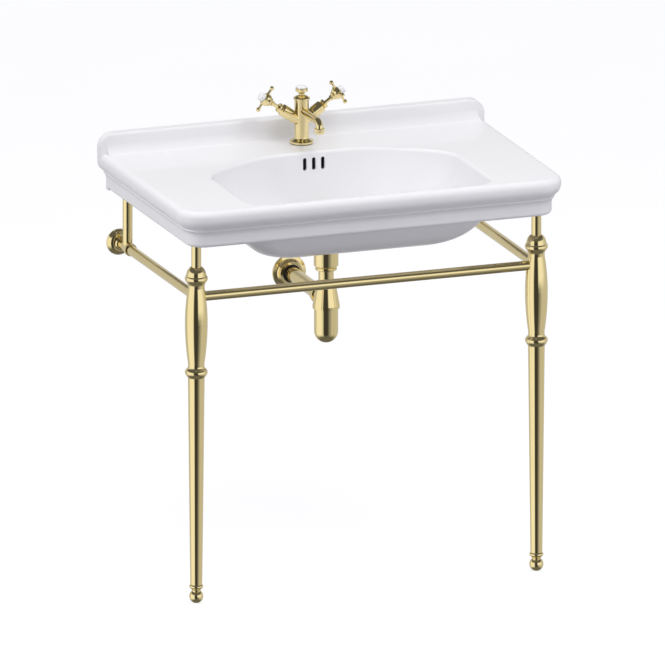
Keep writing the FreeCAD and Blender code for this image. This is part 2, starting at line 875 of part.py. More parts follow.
def make_baluster(label, x, inward):
    """The vase turning that takes the rails: two rings, a belly and a dome."""
    bore = S.leg_spigot_radius + S.fit_clearance
    bore_top = leg_top_z + S.leg_spigot_length + 1
    half = S.ring_half_height
    lower = S.lower_neck_radius
    upper = S.upper_neck_radius
    belly = S.belly_radius
    lower_z = leg_top_z + S.lower_neck_rise
    belly_z = leg_top_z + S.belly_rise
    upper_z = leg_top_z + S.upper_neck_rise
    lower_ring = bead(S.lower_ring_radius, leg_top_z + S.lower_ring_rise, half)
    upper_ring = bead(S.upper_ring_radius, upper_ring_z, half)
    corners = [
        (bore, leg_top_z),
        (S.leg_top_radius + 1, leg_top_z),
        *lower_ring,
        (lower, lower_z - 4, -9),
        (lower, lower_z),
        (belly, belly_z, swell_radius(belly_z - lower_z, belly - lower)),
        (upper, upper_z, swell_radius(upper_z - belly_z, belly - upper)),
        (upper, upper_z + 3),
        (S.upper_ring_radius - 2.3, upper_ring_z - half, -16),
        *upper_ring[1:],
        (S.dome_radius, leg_top_z + S.dome_foot_rise),
        (socket_radius + 1.2, leg_top_z + S.dome_top_rise, 22),
        (socket_radius, leg_top_z + S.dome_top_rise),
        (socket_radius, upper_ring_z),
        (0, upper_ring_z),
        (0, bore_top),
        (bore, bore_top),
    ]
    body = turned(label, corners, (x, leg_y, 0))
    seat = S.rail_seat
    sizes = {"Radius": socket_radius, "Height": S.belly_radius}
    facing = TO_RIGHT if inward > 0 else TO_LEFT
    primitive(body, "SubtractiveCylinder", sizes, (seat * inward, 0, rail_z), *facing)
    primitive(body, "SubtractiveCylinder", sizes, (0, seat, rail_z), *TO_BACK)


def make_posts():
    """Front and rear posts up to the pads that carry the basin's underside."""
    top = deck_under_z - S.pad_thickness
    rear_foot = rail_z + S.tee_neck_height
    pads = []
    for side, sign in SIDES.items():
        x = leg_x * sign
        tube("front_post_" + side, top - upper_ring_z, (x, leg_y, upper_ring_z))
        tube("rear_post_" + side, top - rear_foot, (x, post_y, rear_foot))
        for y in (leg_y, post_y):
            plug = S.tube_radius - S.tube_wall - S.fit_clearance
            corners = [
                (0, -S.pad_plug_length),
                (plug, -S.pad_plug_length),
                (plug, 0),
                (S.pad_radius, 0),
                (S.pad_radius, S.pad_thickness),
                (0, S.pad_thickness),
            ]
            pads.append(turned("pad", corners, (x, y, top), kept=False))
    group("support_pads", pads)


def make_rails():
    length = (leg_x - S.rail_seat) * 2
    tube("front_rail", length, (-(length / 2), leg_y, rail_z), TO_RIGHT)
    start = leg_y + S.rail_seat
    end = post_y - S.tee_collar_reach + S.tee_socket_depth
    for side, sign in SIDES.items():
        x = leg_x * sign
        tube("side_rail_" + side, end - start, (x, start, rail_z), TO_BACK)


def make_tee(label, x):
    """Takes the side rail in its collar, the rear post on its neck, the bracket behind."""
    collar = S.tee_collar_radius
    barrel = S.tee_barrel_radius
    front = -S.tee_collar_reach
    seat = front + S.tee_socket_depth
    back = tee_back
    bore = S.bracket_boss_radius + S.fit_clearance
    corners = [
        (0, seat),
        (socket_radius, seat),
        (socket_radius, front),
        (collar - 1, front),
        (collar, front + 1, 1.2),
        (collar, front + S.tee_collar_length - 1),
        (barrel, front + S.tee_collar_length + 2),
        (barrel, back),
        (bore, back),
        (bore, back - S.tee_bore_depth),
        (0, back - S.tee_bore_depth),
    ]
    body = turned(label, corners, (x, post_y, rail_z), TO_BACK)
    spigot = S.tube_radius - S.tube_wall - S.fit_clearance
    neck = {"Radius": S.tube_radius, "Height": S.tee_neck_height}
    plug = {"Radius": spigot, "Height": S.tee_neck_height + S.tee_spigot_length}
    for sizes in (neck, plug):
        primitive(body, "AdditiveCylinder", sizes, (0, 0, 0), *TO_FRONT)
    primitive(
        body,
        "SubtractiveCylinder",
        {"Radius": bore, "Height": S.tee_bore_depth},
        (0, 0, back - S.tee_bore_depth),
    )


def make_bracket(label, x):
    """The plate screwed to the wall inside the rose, with the boss that carries the tee."""
    reach = S.rear_post_to_wall - tee_back + S.tee_bore_depth - 1
    boss = S.bracket_boss_radius
    thick = S.bracket_thickness
    plate = [(0, 0), (S.bracket_radius, 0), (S.bracket_radius, thick)]
    corners = plate + [(boss, thick), (boss, reach), (0, reach)]
    body = turned(label, corners, (x, wall_y, rail_z), TO_FRONT)
    sizes = {"Radius": S.bracket_hole_radius, "Height": thick}
    for sign in SIDES.values():
        primitive(body, "SubtractiveCylinder", sizes, (S.bracket_hole_spacing / 2 * sign, 0, 0))


def make_rose(label, x):
    """The stepped cover over the bracket, round the tee's barrel."""
    rim = S.rose_radius
    hole = S.tee_barrel_radius + S.rose_gap
    step = S.rose_step_radius
    deep = S.rose_depth
    shell = S.rose_shell
    corners = [
        (rim - shell, 0),
        (rim - 1, 0),
        (rim, 1, 1),
        (rim, 3),
        (rim - 1.5, 4.5),
        (step + 2, deep - 8.5, 11.5),
        (step + 2, deep - 7),
        (step, deep - 7),
        (step, deep - 4),
        (hole + 1, deep, -5),
        (hole, deep),
        (hole, deep - 5),
        (step - shell + 0.6, deep - 8),
        (step, deep - 10.5),
        (rim - shell - 1.5, 4.5, -12.5),
        (rim - shell, 3),
    ]
    turned(label, corners, (x, wall_y, rail_z), TO_FRONT)


def make_washstand():
    for side, sign in SIDES.items():
        x = leg_x * sign
        make_foot("foot_" + side, x)
        make_lower_leg("lower_leg_" + side, x)
        make_baluster("baluster_" + side, x, -sign)
        make_tee("rail_tee_" + side, x)
        make_bracket("wall_bracket_" + side, x)
        make_rose("wall_rose_" + side, x)
    make_posts()
    make_rails()


# ---------------------------------------------------------------- tap

body_z = deck_z + S.tap_gasket
cap_z = body_z + S.tap_column_top
knob_z = cap_z + S.tap_collar_height + S.tap_dome_height + S.knob_gap
spindle_bore = S.spindle_radius + S.running_clearance
shank_bore = S.shank_radius + S.fit_clearance


def along_arm(sign, distance):
    """A point on a handle's axis, at a distance from the column's middle."""
    out = cosine(S.arm_tilt) * distance
    rise = sine(S.arm_tilt) * distance
    return (out * sign, tap_y, body_z + S.arm_origin + rise)


def arm_turn(sign):
    return (Term(90.0, "90") - S.arm_tilt) * sign


def make_tap_body():
    base = S.tap_base_radius
    column = S.tap_column_radius
    flange = S.tap_base_height
    top = S.tap_column_top
    cap_bore = S.tap_cap_spigot_radius + S.fit_clearance
    cap_seat = top - S.tap_cap_spigot_length - 1
    corners = [
        (shank_bore, 0),
        (base - 1, 0),
        (base, 1, 1),
        (base, flange / 2),
        (base - 2, flange / 2 + 1.5, 2.5),
        (column + 2.5, flange, -8),
        (column, flange + 3, -3.5),
        (column, top),
        (cap_bore, top),
        (cap_bore, cap_seat),
        (S.rod_bore_radius, cap_seat),
        (S.rod_bore_radius, S.shank_overlap),
        (shank_bore, S.shank_overlap),
    ]
    body = turned("tap_body", corners, (0, tap_y, body_z))
    arm = {"Radius": S.arm_radius, "Height": S.arm_length}
    cavity = {"Radius": S.bonnet_tail_radius + S.fit_clearance, "Height": S.bonnet_tail_length + 1}
    deep = S.arm_length - S.bonnet_tail_length - 1
    for sign in SIDES.values():
        primitive(body, "AdditiveCylinder", arm, (0, 0, S.arm_origin), Y_AXIS, arm_turn(sign))
    start = column - 5
    path = [
        (-start, S.spout_height),
        (S.spout_bend - S.spout_reach, S.spout_height),
        (-S.spout_reach, S.spout_height - S.spout_bend, S.spout_bend),
        (-S.spout_reach, S.spout_height - S.spout_drop),
    ]
    pipe = body.newObject("PartDesign::AdditivePipe", "tap_spout")
    line = outline(body, "YZ_Plane", path, closed=False)
    pipe.Profile = circles(body, "XZ_Plane", [(0, S.spout_height, S.spout_radius)], level=start)
    pipe.Spine = line
    doc.recompute()
    for sign in SIDES.values():
        at = (cosine(S.arm_tilt) * deep * sign, 0, S.arm_origin + sine(S.arm_tilt) * deep)
        primitive(body, "SubtractiveCylinder", cavity, at, Y_AXIS, arm_turn(sign))
    rod_way = {"Radius": S.rod_bore_radius, "Height": S.tap_column_top}
    primitive(body, "SubtractiveCylinder", rod_way, (0, 0, 0))
    outlet = {"Radius": S.nozzle_bore - 1, "Height": S.spout_drop / 2}
    primitive(body, "SubtractiveCylinder", outlet, (0, -S.spout_reach, S.spout_height - S.spout_drop))


def make_tap_trim():
    """Gasket under the base, the domed cap on the column, and the nozzle."""
    gasket = ring_corners(shank_bore, S.tap_base_radius - 2, 0, S.tap_gasket)
    turned("tap_gasket", gasket, (0, tap_y, deck_z))
    collar = S.tap_collar_radius
    rod = S.lift_rod_radius + S.running_clearance
    spigot = S.tap_cap_spigot_radius
    high = S.tap_collar_height
    top = high + S.tap_dome_height
    corners = [
        (rod, -S.tap_cap_spigot_length),
        (spigot, -S.tap_cap_spigot_length),
        (spigot, 0),
        (collar - 1.5, 0),
        (collar, 1.5, 1.8),
        (collar, high - 1.5),
        (collar - 1.5, high, 1.8),
        (S.knob_neck_radius + 0.5, top, 24),
        (rod, top),
    ]
    turned("tap_top_cap", corners, (0, tap_y, cap_z))
    sleeve = S.spout_radius + S.fit_clearance
    rim = S.nozzle_radius
    cover = S.nozzle_length / 3
    end = S.nozzle_length - cover
    corners = [
        (S.nozzle_bore, 0),
        (sleeve, 0),
        (sleeve, -cover),
        (rim - 1, -cover),
        (rim, 1 - cover, 1.2),
        (rim, end - 3),
        (rim - 1, end, 8),
        (S.nozzle_bore, end),
    ]
    at = (0, tap_y - S.spout_reach, body_z + S.spout_height - S.spout_drop)
    turned("spout_nozzle", corners, at, TO_FLOOR)


def make_bonnet(side, sign):
    """The shroud over the valve, with the ring the spindle comes out of."""
    barrel = S.bonnet_radius
    long = S.bonnet_length
    collar = S.bonnet_collar_radius
    neck = collar - 2.2
    ring = long + S.bonnet_neck_length
    top = ring + S.bonnet_collar_length
    corners = [
        (spindle_bore, -S.bonnet_tail_length),
        (S.bonnet_tail_radius, -S.bonnet_tail_length),
        (S.bonnet_tail_radius, 0),
        (barrel - 1, 0),
        (barrel, 1, 1.2),
        (barrel, long - 3),
        (barrel - 2.5, long, 3.5),
        (neck, ring, -3.5),
        (collar - 0.8, ring),
        (collar, ring + 1, 1.2),
        (collar, top - 1),
        (collar - 1, top, 1.2),
        (spindle_bore, top),
    ]
    turned("valve_bonnet_" + side, corners, along_arm(sign, S.arm_length), (Y_AXIS, arm_turn(sign)))


def make_handle(side, sign):
    """The spindle, the four-armed handle on it and the porcelain cap in its face."""
    facing = (Y_AXIS, arm_turn(sign))
    back = -S.handle_hub_back
    front = S.handle_hub_front
    hub = S.handle_hub_radius
    bore = S.spindle_radius + S.fit_clearance
    seat = front - 5
    spindle_start = S.arm_length - S.bonnet_tail_length + 1
    spindle_length = S.handle_reach + seat - 3 - spindle_start
    rod = [(0, 0), (S.spindle_radius, 0), (S.spindle_radius, spindle_length), (0, spindle_length)]
    turned("spindle_" + side, rod, along_arm(sign, spindle_start), facing)
    cap_bore = S.handle_cap_bore + S.fit_clearance
    corners = [
        (bore, back),
        (bore + 1.2, back),
        (bore + 2, back + 3),
        (hub - 5, back + 8, -9),
        (hub - 3.6, back + 9, 1.2),
        (hub - 3.6, back + 10.5),
        (hub, -5, 14),
        (hub, 1),
        (hub - 2, front, 3.5),
        (cap_bore, front),
        (cap_bore, seat),
        (0, seat),
        (0, seat - 2),
        (bore, seat - 2),
    ]
    at = along_arm(sign, S.handle_reach)
    body = turned("cross_handle_" + side, corners, at, facing)
    ball = S.handle_ball_radius
    tip = S.handle_span / 2
    slim = S.handle_arm_radius
    arm = [
        (S.handle_cap_bore + 2, 0),
        (tip, 0),
        (tip - ball, ball, ball),
        (tip - ball * 2, slim - 0.3, 9),
        (S.handle_cap_bore + 2, slim + 0.4),
    ]
    spoke = revolve(body, outline(body, "XZ_Plane", arm), axis="H_Axis")
    pattern = body.newObject("PartDesign::PolarPattern", body.Name + "_pattern")
    pattern.Originals = [spoke]
    turning_axis = [item for item in body.Origin.OriginFeatures if item.Role == "Z_Axis"][0]
    pattern.Axis = (turning_axis, [""])
    pattern.Angle = 360
    pattern.Occurrences = 4
    body.Tip = pattern
    doc.recompute()
    porcelain = S.index_cap_radius
    high = front + S.index_cap_height
    cap = [
        (0, seat + 0.3),
        (S.handle_cap_bore, seat + 0.3),
        (S.handle_cap_bore, front),
        (porcelain - 0.5, front),
        (porcelain, front + 0.5, 0.6),
        (porcelain, high - 3),
        (porcelain - 1.6, high - 1, 2.2),
        (0, high, swell_radius(porcelain - 1.6, 1)),
    ]
    turned("index_cap_" + side, cap, at, facing)


def make_shank():
    """The threaded tail through the deck, with its inlets and its clamping pieces."""
    top = body_z + S.shank_overlap
    bottom = top - S.shank_length
    corners = ring_corners(S.rod_bore_radius, S.shank_radius, 0, S.shank_length)
    body = turned("tap_shank", corners, (0, tap_y, bottom))
    sizes = {"Radius": S.inlet_radius, "Height": S.inlet_depth}
    for sign in SIDES.values():
        primitive(body, "SubtractiveCylinder", sizes, (S.inlet_offset * sign, 0, 0))
    seal_z = deck_under_z - S.clamp_seal_thickness
    washer_z = seal_z - S.clamp_washer_thickness
    nut_z = washer_z - S.back_nut_height
    radius = S.clamp_washer_radius
    seal = ring_corners(shank_bore, radius, 0, S.clamp_seal_thickness)
    turned("clamp_seal", seal, (0, tap_y, seal_z))
    washer = turned(
        "clamp_washer",
        ring_corners(shank_bore, radius - 1, 0, S.clamp_washer_thickness),
        (0, tap_y, washer_z),
    )
    slot = {"Length": shank_bore * 2, "Width": radius, "Height": S.clamp_washer_thickness}
    primitive(washer, "SubtractiveBox", slot, (-shank_bore, 0, 0))
    make_nut("tap_back_nut", S.back_nut_radius, S.back_nut_height, shank_bore, (0, tap_y, nut_z))


def make_nut(label, radius, height, bore, at, facing=UPRIGHT):
    body = new_body(label)
    sizes = {"Circumradius": radius, "Height": height}
    primitive(body, "AdditivePrism", sizes, (0, 0, 0)).Polygon = 6
    primitive(body, "SubtractiveCylinder", {"Radius": bore, "Height": height}, (0, 0, 0))
    place(body, at, *facing)
    return body


def make_tap():
    make_tap_body()
    make_tap_trim()
    for side, sign in SIDES.items():
        make_bonnet(side, sign)
        make_handle(side, sign)
    make_shank()


# ---------------------------------------------------------------- pop-up linkage

DEGREES = 57.29578
ball_y = waste_y + S.pivot_ball_reach
strap_y = tap_y - S.clamp_radius
outer_reach = strap_y - ball_y
half_swing = S.lift_travel / outer_reach * (DEGREES / 2)
plug_travel = S.lift_travel * S.pivot_ball_reach / outer_reach
rod_bottom_z = deck_z - S.lift_rod_drop
strap_hole_z = pivot_z - S.lift_travel / 2
eye_z = pivot_z + plug_travel / 2
rod_top_z = knob_z + S.knob_neck_height + S.knob_taper_height


def make_knob():
    """The knob on the column, its porcelain button and the rod down through the tap."""
    bore = S.lift_rod_radius + S.fit_clearance
    neck = S.knob_neck_radius
    rim = S.knob_radius
    shoulder = S.knob_neck_height + S.knob_taper_height
    top = shoulder + S.knob_rim_height
    button = S.knob_button_radius
    seat = top - 2
    corners = [
        (bore, 0),
        (neck - 0.6, 0),
        (neck, 0.6, 0.7),
        (neck, S.knob_neck_height - 1),
        (rim, shoulder, -12),
        (rim, top - 1),
        (rim - 1, top, 1.2),
        (button + 0.2, top),
        (button + 0.2, seat),
        (0, seat),
        (0, shoulder + 0.5),
        (bore, shoulder + 0.5),
    ]
    turned("lift_knob", corners, (0, tap_y, knob_z))
    crown = top + S.knob_button_height
    corners = [
        (0, seat),
        (button, seat),
        (button, top + 1),
        (button - 3, crown - 1.4, 5),
        (0, crown, swell_radius(button - 3, 1.4)),
    ]
    turned("knob_button", corners, (0, tap_y, knob_z))
    length = rod_top_z - rod_bottom_z
    rod = [(0, 0), (S.lift_rod_radius, 0), (S.lift_rod_radius, length), (0, length)]
    turned("lift_rod", rod, (0, tap_y, rod_bottom_z))


def make_strap():
    """The perforated strap clamped to the rod: the pivot rod passes through a hole in it."""
    bottom = strap_hole_z - S.strap_end
    clamp_z = rod_bottom_z + 2
    clamp_top = clamp_z + S.clamp_height
    body = new_body("lift_strap")
    wide = S.strap_width
    thick = S.strap_thickness
    strip = {"Length": wide, "Width": thick, "Height": clamp_top - bottom}
    primitive(body, "AdditiveBox", strip, (-(wide / 2), -(thick / 2), bottom))
    hole = {"Radius": S.strap_hole_radius, "Height": thick * 2}
    drill = primitive(body, "SubtractiveCylinder", hole, (0, -thick, strap_hole_z), *TO_BACK)
    pattern = body.newObject("PartDesign::LinearPattern", "strap_holes")
    pattern.Originals = [drill]
    upright = [item for item in body.Origin.OriginFeatures if item.Role == "Z_Axis"][0]
    pattern.Direction = (upright, [""])
    pattern.Mode = "Spacing"
    pattern.Offset = S.strap_hole_pitch.value
    bind(pattern, "Offset", S.strap_hole_pitch)
    pattern.Occurrences = 5
    body.Tip = pattern
    doc.recompute()
    ring = {"Radius": S.clamp_radius, "Height": S.clamp_height}
    primitive(body, "AdditiveCylinder", ring, (0, S.clamp_radius, clamp_z))
    bore = {"Radius": S.lift_rod_radius + S.fit_clearance, "Height": S.clamp_height}
    primitive(body, "SubtractiveCylinder", bore, (0, S.clamp_radius, clamp_z))
    screw_z = clamp_z + S.clamp_height / 2
    way = {"Radius": S.clamp_screw_radius + S.fit_clearance, "Height": S.clamp_radius + thick}
    primitive(body, "SubtractiveCylinder", way, (0, -thick, screw_z), *TO_BACK)
    place(body, (0, strap_y, 0))
    shaft = S.clamp_screw_radius
    head = S.clamp_screw_head
    reach = S.clamp_radius - S.lift_rod_radius + thick / 2
    top = reach + 6
    shank = [(0, 0), (shaft, 0), (shaft, reach)]
    corners = shank + [(head, reach), (head, top - 1), (head - 1, top), (0, top)]
    turned("clamp_screw", corners, (0, tap_y - S.lift_rod_radius, screw_z), TO_FRONT)


def make_pivot_rod():
    rod = S.pivot_rod_radius
    ball = S.pivot_ball_radius
    inner = -(S.pivot_ball_reach + S.pivot_overrun)
    outer = outer_reach + S.pivot_tail
    corners = [
        (0, inner),
        (rod, inner),
        (rod, ball * -0.89),
        (rod, ball * 0.89, ball),
        (rod, outer - 1),
        (rod - 1, outer),
        (0, outer),
    ]
    turn = -(half_swing + 90)
    turned("pivot_rod", corners, (0, ball_y, pivot_z), (X_AXIS, turn))


# ---------------------------------------------------------------- waste

flange_z = bowl_floor_z - S.waste_recess_depth + S.waste_seal_thickness / 2
flange_top_z = flange_z + S.waste_flange_edge
waste_bottom_z = nut_seat_z + S.trap_flange + S.trap_gap


def make_waste_body():
    """Flange, threaded tube and the side port that holds the pivot ball."""
    outer = S.waste_tube_radius
    bore = outer - S.waste_tube_wall
    rim = S.waste_flange_radius
    corners = [
        (bore, waste_bottom_z),
        (outer, waste_bottom_z),
        (outer, flange_z - 4),
        (outer + 1.5, flange_z),
        (rim, flange_z),
        (rim, flange_z + 1),
        (rim - 3, flange_top_z, 5),
        (S.plug_seat_radius, flange_top_z),
        (S.plug_seat_radius, flange_top_z - S.plug_seat_depth),
        (bore, flange_top_z - S.plug_seat_depth),
    ]
    body = turned("waste_body", corners, (0, waste_y, 0))
    at = (0, bore + 0.5, pivot_z)
    port = {"Radius": S.pivot_port_radius, "Height": S.pivot_port_reach - bore - 0.5}
    primitive(body, "AdditiveCylinder", port, at, *TO_BACK)
    way = {"Radius": S.pivot_bore_radius, "Height": S.pivot_port_reach}
    primitive(body, "SubtractiveCylinder", way, (0, 0, pivot_z), *TO_BACK)
    room = S.pivot_ball_radius + S.pivot_ball_gap
    socket = {"Radius": room, "Height": S.pivot_port_reach}
    primitive(body, "SubtractiveCylinder", socket, (0, S.pivot_ball_reach - room, pivot_z), *TO_BACK)
    duct = {"Radius": S.overflow_bore, "Height": outer * 2}
    primitive(body, "SubtractiveCylinder", duct, (0, 0, duct_z), *TO_BACK)


def make_waste_fittings():
    tube_bore = S.waste_tube_radius + S.fit_clearance
    seal = S.waste_seal_radius
    half = S.waste_seal_thickness / 2
    top_seal = ring_corners(tube_bore + 2, seal, 0, half)
    turned("waste_top_seal", top_seal, (0, waste_y, bowl_floor_z - S.waste_recess_depth))
    lower_z = boss_under_z - S.waste_seal_thickness
    lower = ring_corners(tube_bore, seal, 0, S.waste_seal_thickness)
    turned("waste_bottom_seal", lower, (0, waste_y, lower_z))
    at = (0, waste_y, lower_z - S.waste_nut_height)
    make_nut("waste_back_nut", S.waste_nut_radius, S.waste_nut_height, tube_bore, at)
    start = S.pivot_port_reach - S.pivot_nut_overlap
    at = (0, waste_y + start, pivot_z)
    body = make_nut("pivot_nut", S.pivot_nut_radius, S.pivot_nut_length, S.pivot_bore_radius, at, TO_BACK)
    room = {"Radius": S.pivot_port_radius + S.fit_clearance, "Height": S.pivot_nut_overlap}
    primitive(body, "SubtractiveCylinder", room, (0, 0, 0))


def make_plug():
    """The plug, raised at rest, its seal and the eye that the pivot rod lifts it by."""
    seat_z = flange_top_z - S.plug_seat_depth
    seal_z = seat_z + S.plug_gap + plug_travel
    under = seal_z + S.plug_seal_thickness
    top = under + S.plug_edge
    rim = S.plug_radius
    stem = S.plug_stem_radius
    inner = stem + 1
    eye = S.plug_eye_width
    eye_top = eye_z + eye / 2
    corners = [
        (0, eye_top - 2),
        (stem, eye_top - 2),
        (stem, under - 3),
        (inner + 3, under, -4.5),
        (rim - 1, under),
        (rim, under + 1, 1.2),
        (rim, top - 0.5),
        (0, top + S.plug_crown, swell_radius(rim, S.plug_crown + 0.5)),
    ]
    body = turned("waste_plug", corners, (0, waste_y, 0))
    thick = S.plug_eye_thickness
    tab = {"Length": eye, "Width": thick, "Height": eye}
    primitive(body, "AdditiveBox", tab, (-(eye / 2), -(thick / 2), eye_z - eye / 2))
    hole = {"Radius": S.plug_eye_radius, "Height": thick}
    primitive(body, "SubtractiveCylinder", hole, (0, -(thick / 2), eye_z), *TO_BACK)
    seal = ring_corners(inner + 4, rim - 0.5, seal_z, under)
    turned("plug_seal", seal, (0, waste_y, 0))


def make_waste():
    make_waste_body()
    make_waste_fittings()
    make_plug()
    make_knob()
    make_strap()
    make_pivot_rod()


# ---------------------------------------------------------------- bottle trap


def make_trap_inlet():
    nut = S.trap_nut_radius
    collar = S.trap_collar_radius
    thread = S.waste_tube_radius + S.fit_clearance
    tube_bore = S.trap_tube_radius + S.fit_clearance
    bottom = nut_bottom_z - S.trap_collar_height
    corners = [
        (tube_bore, bottom),
        (collar - 1, bottom),
        (collar, bottom + 1, 1.2),
        (collar, bottom + S.trap_collar_height - 2),
        (collar - 1, bottom + S.trap_collar_height - 1),
        (collar - 1, nut_bottom_z),
        (nut, nut_bottom_z + 3),
        (nut, nut_seat_z + S.trap_nut_rise),
        (thread, nut_seat_z + S.trap_nut_rise),
        (thread, nut_seat_z),
        (tube_bore, nut_seat_z),
    ]
    turned("trap_inlet_nut", corners, (0, waste_y, 0))
    outer = S.trap_tube_radius
    inner = outer - S.trap_tube_wall
    top = nut_seat_z + S.trap_flange
    corners = [
        (inner, nut_seat_z - S.trap_tube_length),
        (outer, nut_seat_z - S.trap_tube_length),
        (outer, nut_seat_z),
        (thread - 0.3, nut_seat_z),
        (thread - 0.3, top),
        (inner, top),
    ]
    turned("trap_inlet_tube", corners, (0, waste_y, 0))


def make_trap_head():
    """The conical head, with the side boss that the outlet leaves by."""
    wall = S.trap_wall
    tube_bore = S.trap_tube_radius + S.fit_clearance
    low = head_z
    skirt = S.trap_head_radius
    top = head_z + S.trap_head_height
    collar = S.trap_head_top_radius
    foot = top - S.trap_head_collar
    thread = S.trap_cup_radius - 0.6
    corners = [
        (thread, low),
        (skirt, low),
        (skirt, low + S.trap_skirt_height),
        (collar + 1, foot - 1),
        (collar, foot),
        (collar, top - 1),
        (collar - 1, top),
        (tube_bore, top),
        (tube_bore, foot - wall),
        (tube_bore + 1.5, foot - wall - 1),
        (thread, low + S.trap_cup_neck + 3),
    ]
    body = turned("trap_head", corners, (0, waste_y, 0))
    start = S.trap_tube_radius + 4
    boss = {"Radius": S.outlet_boss_radius, "Height": S.outlet_boss_reach - start}
    primitive(body, "AdditiveCylinder", boss, (0, start, outlet_z), *TO_BACK)
    primitive(body, "SubtractiveCylinder", {"Radius": thread, "Height": S.trap_cup_neck + 3}, (0, 0, low))
    bore = {"Radius": S.outlet_pipe_radius - S.trap_tube_wall, "Height": S.outlet_boss_reach - start + 2}
    primitive(body, "SubtractiveCylinder", bore, (0, start - 2, outlet_z), *TO_BACK)


def make_trap_cup():
    outer = S.trap_cup_radius
    neck = outer - 0.8
    inner = neck - S.trap_wall
    middle = head_z - S.trap_cup_drop
    seam = head_z - 0.4
    top = seam + S.trap_cup_neck
    corners = [
        (0, middle - outer),
        (outer, middle, outer),
        (outer, seam),
        (neck, seam),
        (neck, top),
        (inner, top),
        (inner, middle),
        (0, middle - inner, -inner),
    ]
    turned("trap_cup", corners, (0, waste_y, 0))


def make_trap_outlet():
    nut = S.outlet_nut_radius
    pipe = S.outlet_pipe_radius
    boss_bore = S.outlet_boss_radius + S.fit_clearance
    pipe_bore = pipe + S.fit_clearance
    start = S.outlet_boss_reach - S.outlet_nut_overlap
    long = S.outlet_nut_length
    seat = S.outlet_nut_overlap + 2
    corners = [
        (boss_bore, 0),
        (nut - 1, 0),
        (nut, 1, 1.2),
        (nut, long - 5),
        (nut - 2, long - 3),
        (nut - 2, long - 1),
        (nut - 3, long, 1.2),
        (pipe_bore, long),
        (pipe_bore, seat),
        (boss_bore, seat),
    ]
    turned("trap_outlet_nut", corners, (0, waste_y + start, outlet_z), TO_BACK)
    pipe_start = S.outlet_boss_reach + S.trap_gap
    corners = ring_corners(pipe - S.trap_tube_wall, pipe, 0, S.waste_to_wall - pipe_start)
    turned("outlet_pipe", corners, (0, waste_y + pipe_start, outlet_z), TO_BACK)
    rim = S.outlet_rose_radius
    hub = S.outlet_hub_radius
    edge = S.outlet_rose_edge
    deep = S.outlet_hub_depth
    ring = S.outlet_seal_radius + S.fit_clearance
    seal = S.outlet_seal_length
    hole = pipe + S.rose_gap
    corners = [
        (rim - S.rose_shell, 0),
        (rim, 0),
        (rim, edge - 1.5),
        (rim - 1.5, edge, 1.8),
        (hub + 4, edge + 1),
        (hub, edge + 4.5, -5),
        (hub, deep - 1.5),
        (hub - 1.5, deep, 1.8),
        (ring, deep),
        (ring, deep - seal + 1.5),
        (hole, deep - seal + 1.5),
        (hole, deep - seal - 1),
        (hub - S.rose_shell, deep - seal - 1),
        (hub - S.rose_shell, edge + 1),
        (rim - S.rose_shell, edge - S.rose_shell),
    ]
    turned("outlet_rose", corners, (0, wall_y, outlet_z), TO_FRONT)
    start = deep - seal + 1.5
    end = start + seal
    outer = S.outlet_seal_radius
    corners = [(pipe, start), (outer, start), (outer, end - 1), (outer - 1, end, 1.2), (pipe, end)]
    turned("outlet_seal", corners, (0, wall_y, outlet_z), TO_FRONT)


def make_trap():
    make_trap_inlet()
    make_trap_head()
    make_trap_cup()
    make_trap_outlet()


# ---------------------------------------------------------------- check and write


def check_and_write():
    doc.recompute()
    for item in doc.Objects:
        if "Invalid" in item.State or "Error" in item.State:
            raise RuntimeError("%s did not compute: %s" % (item.Label, item.State))
    os.makedirs("parts", exist_ok=True)
    for piece in pieces:
        shape = piece.Shape
        if shape.isNull() or not shape.isValid() or not shape.Solids:
            raise RuntimeError("%s has no valid solid" % piece.Label)
        shape.exportStep("parts/%s.step" % piece.Label)
        print("%-22s %9.0f mm3  %3d faces" % (piece.Label, shape.Volume, len(shape.Faces)))
    print(len(pieces), "pieces")


make_basin()
make_bowl()
make_washstand()
make_tap()
make_waste()
make_trap()
check_and_write()
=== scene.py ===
"""Looks for the console sink: materials, floor, light and camera.

Metres. The floor is z = 0, the wall would be y = +0.270, the front is -y.
"""

import json
import math

import bpy
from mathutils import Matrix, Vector

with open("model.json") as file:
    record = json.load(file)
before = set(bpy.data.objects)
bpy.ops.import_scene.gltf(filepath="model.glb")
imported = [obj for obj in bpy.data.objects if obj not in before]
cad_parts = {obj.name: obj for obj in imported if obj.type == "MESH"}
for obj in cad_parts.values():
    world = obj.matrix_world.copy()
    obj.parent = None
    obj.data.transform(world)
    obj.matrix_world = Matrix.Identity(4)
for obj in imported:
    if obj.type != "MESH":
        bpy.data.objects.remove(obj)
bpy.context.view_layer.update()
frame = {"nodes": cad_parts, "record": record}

# Camera: a parallel view from the front left, 20 degrees round and 15.1 up
VIEW_TURN = 20.0
VIEW_LIFT = 15.1
VIEW_TARGET = Vector((0.0, 0.004, 0.496))
VIEW_WIDTH = 1.3854
VIEW_DISTANCE = 4.0

# Overflow passage, in metres: the box where its shade is painted dark
PASSAGE_HALF_WIDTH = 0.034
PASSAGE_FRONT = 0.122
PASSAGE_BACK = 0.142
PASSAGE_TOP = 0.851

